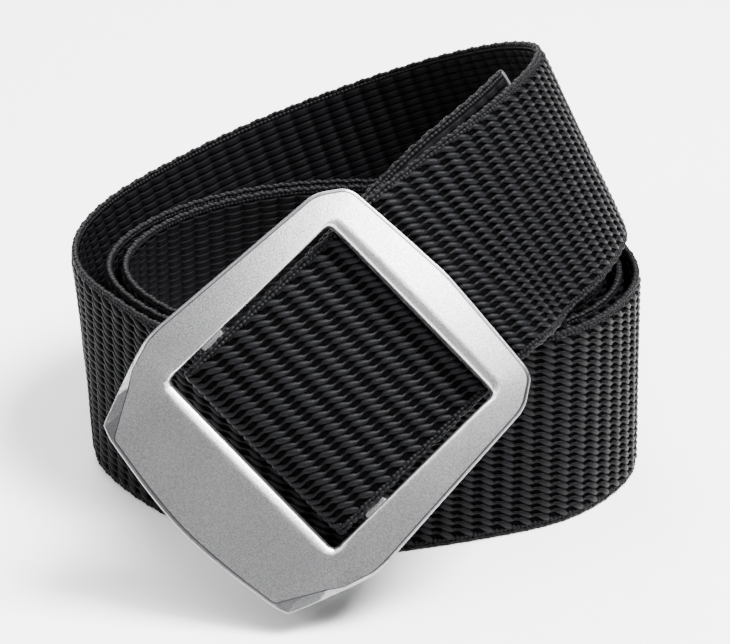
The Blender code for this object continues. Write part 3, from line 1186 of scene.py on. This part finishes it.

# %% [markdown]
# ## Bead-blasted silver
#
# The casting is blasted with fine beads and plated in a pearl silver. It is
# all metal, but rough: highlights spread wide, and grains of many sizes each
# catch the light a little differently. Two noises make the grain, one for
# single beads and one for soft patches. A thin dark line of painted shade
# follows the edge between the face and its bevel, and the rim outside it is
# painted darker than the face as painted shade. The casting carries that
# painted shade as a value on its own points, so it sits on the true edge from
# every side.

# %% Blasted grain group
def grain_group():
    """Build the shader group: place in, grain, patch and height out."""
    group = bpy.data.node_groups.new("blasted_grain", "ShaderNodeTree")
    takes = (("Place", "Vector"), ("Grain Scale", "Float"), ("Patch Scale", "Float"))
    open_sockets(group, takes, (("Grain", "Float"), ("Patch", "Float"), ("Height", "Float")))
    source = node(group, "NodeGroupInput", (0, 0)).outputs
    beads = node(group, "ShaderNodeTexNoise", (1, 0), {
        "Vector": source["Place"],
        "Scale": source["Grain Scale"],
        "Detail": 3.0,
        "Roughness": 0.65,
    })
    pits = node(group, "ShaderNodeTexVoronoi", (1, 2), {
        "Vector": source["Place"],
        "Scale": source["Grain Scale"],
    })
    patch = node(group, "ShaderNodeTexNoise", (1, 4), {
        "Vector": source["Place"],
        "Scale": source["Patch Scale"],
        "Detail": 2.0,
    })
    sharp = node(group, "ShaderNodeMapRange", (2, 0), {
        "Value": beads.outputs["Fac"],
        "From Min": 0.30,
        "From Max": 0.70,
    }, interpolation_type="SMOOTHSTEP").outputs[0]
    pit_depth = maths(group, "MULTIPLY", (2, 2), pits.outputs["Distance"], 0.5)
    node(group, "NodeGroupOutput", (4, 0), {
        "Grain": sharp,
        "Patch": patch.outputs["Fac"],
        "Height": maths(group, "ADD", (3, 1), sharp, pit_depth),
    })
    return group


blasted_grain = grain_group()
print("grain group:", len(blasted_grain.nodes), "nodes")


# %% Plated metal
def silver_material():
    """Make the plated, blasted metal of the buckle."""
    mat, tree, shader = new_material("pearl_silver_blasted")
    place = node(tree, "ShaderNodeTexCoord", (-6, 0))
    grain = node(tree, "ShaderNodeGroup", (-5, 0), {
        "Place": place.outputs["Object"],
        "Grain Scale": 3800.0,
        "Patch Scale": 160.0,
    }, node_tree=blasted_grain).outputs
    edge = node(tree, "ShaderNodeAttribute", (-5, 2), attribute_name="painted_edge_shade")
    dark = (0.41, 0.41, 0.42, 1.0)
    bright = (0.78, 0.78, 0.795, 1.0)
    # painted shade: the dark line at the bevel and the darker rim
    painted_shade = (0.10, 0.10, 0.11, 1.0)
    colours = colour_mix(tree, (-3, 0), grain["Grain"], dark, bright)
    rough = node(tree, "ShaderNodeMapRange", (-3, 3), {
        "Value": grain["Patch"],
        "To Min": 0.285,
        "To Max": 0.315,
    })
    feed(tree, shader, {
        "Base Color": colour_mix(tree, (-2, 1), edge.outputs["Fac"], colours, painted_shade),
        "Metallic": 1.0,
        "Roughness": rough.outputs[0],
        "Normal": relief(tree, (-2, 4), grain["Height"], 0.80, 0.012),
    })
    return mat


silver = silver_material()
buckle.data.materials.clear()
buckle.data.materials.append(silver)
for cad_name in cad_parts:
    cad = bpy.data.objects.get(cad_name)
    if cad is not None:
        for slot in cad.material_slots:
            slot.material = silver if "buckle" in cad_name else face_finish
print("materials:", len(bpy.data.materials))

# %% [markdown]
# ## Floor and light
#
# The photograph is a bright studio shot on white with hardly any shadow.
# Three large boxes and a dome that is bright overhead and dim at the horizon
# give that light. The small box close to the buckle is what makes its face
# fade from nearly white at the top to a middle grey at the bottom: it is so
# near that each part of the flat face sees it under another angle.

# %% Floor
FLOOR_HALF = 3000
corners = [(x * FLOOR_HALF, y * FLOOR_HALF, 0) for x, y in ((-1, -1), (1, -1), (1, 1), (-1, 1))]
floor = new_mesh_object("floor", corners, [(0, 1, 2, 3)])
paper, paper_tree, paper_shader = new_material("pale_paper")
feed(paper_tree, paper_shader, {"Base Color": (0.94, 0.94, 0.94, 1.0), "Roughness": 0.9})
floor.data.materials.append(paper)
print("floor:", 2 * FLOOR_HALF * MM, "m wide")

# %% Soft boxes
BELT_MIDDLE = (0.0, 0.0, 0.03)
BUCKLE_TOP = (0.0, -0.042, 0.050)
SOFT_BOXES = (
    # name       place in metres          aim           size   watts
    ("top_box",  (0.44, -0.06, 0.87),     BELT_MIDDLE,  0.40,  48.0),
    ("near_box", (0.027, -0.097, 0.110),  BUCKLE_TOP,   0.038, 0.100),
    ("left_box", (-0.60, -0.45, 0.45),    BELT_MIDDLE,  0.30,  5.0),
    ("back_box", (-0.25, 0.85, 0.70),     BELT_MIDDLE,  0.50,  18.0),
)


def soft_box(name, place, aim, size, power):
    """Hang one square area light and turn it toward its aim."""
    data = bpy.data.lights.new(name, "AREA")
    data.shape = "SQUARE"
    data.size = size
    data.energy = power
    lamp = bpy.data.objects.new(name, data)
    lamp.location = place
    way = np.array(aim) - np.array(place)
    flat_way = math.hypot(way[0], way[1])
    lamp.rotation_euler = (math.atan2(flat_way, -way[2]), 0.0, math.atan2(-way[0], way[1]))
    lamp.visible_camera = False
    bpy.context.scene.collection.objects.link(lamp)


for box in SOFT_BOXES:
    soft_box(*box)
print("soft boxes:", len(SOFT_BOXES))

# %% Bright dome
DOME_FROM = 0.58
DOME_TO = 0.95
DOME_LOW = 0.04
DOME_HIGH = 2.60


def studio_world():
    """Make a dome that is bright overhead and dim toward the horizon."""
    world = bpy.data.worlds.new("studio")
    world.use_nodes = True
    tree = world.node_tree
    way = node(tree, "ShaderNodeTexCoord", (-5, 0)).outputs["Generated"]
    split = node(tree, "ShaderNodeSeparateXYZ", (-4, 0), {0: way})
    rise = node(tree, "ShaderNodeMapRange", (-3, 0), {
        "Value": split.outputs["Z"],
        "From Min": DOME_FROM,
        "From Max": DOME_TO,
        "To Min": DOME_LOW,
        "To Max": DOME_HIGH,
    }, interpolation_type="SMOOTHSTEP")
    feed(tree, tree.nodes["Background"], {
        "Color": (1.0, 1.0, 1.0, 1.0),
        "Strength": rise.outputs[0],
    })
    return world


bpy.context.scene.world = studio_world()
print("dome strength:", DOME_LOW, "to", DOME_HIGH)

# %% [markdown]
# ## Handing over
#
# Every piece rides on the one body and carries its own finish. The strap's
# pieces stand for the plain strap solid, and the fine casting stands for the
# plain buckle solid.

# %% Ride and replace
for piece in (core, sealed_end, *selvage, *face_weave, *back_weave):
    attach(piece, "root")
    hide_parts("webbing_strap")
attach(buckle, "root")
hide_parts("buckle_frame")
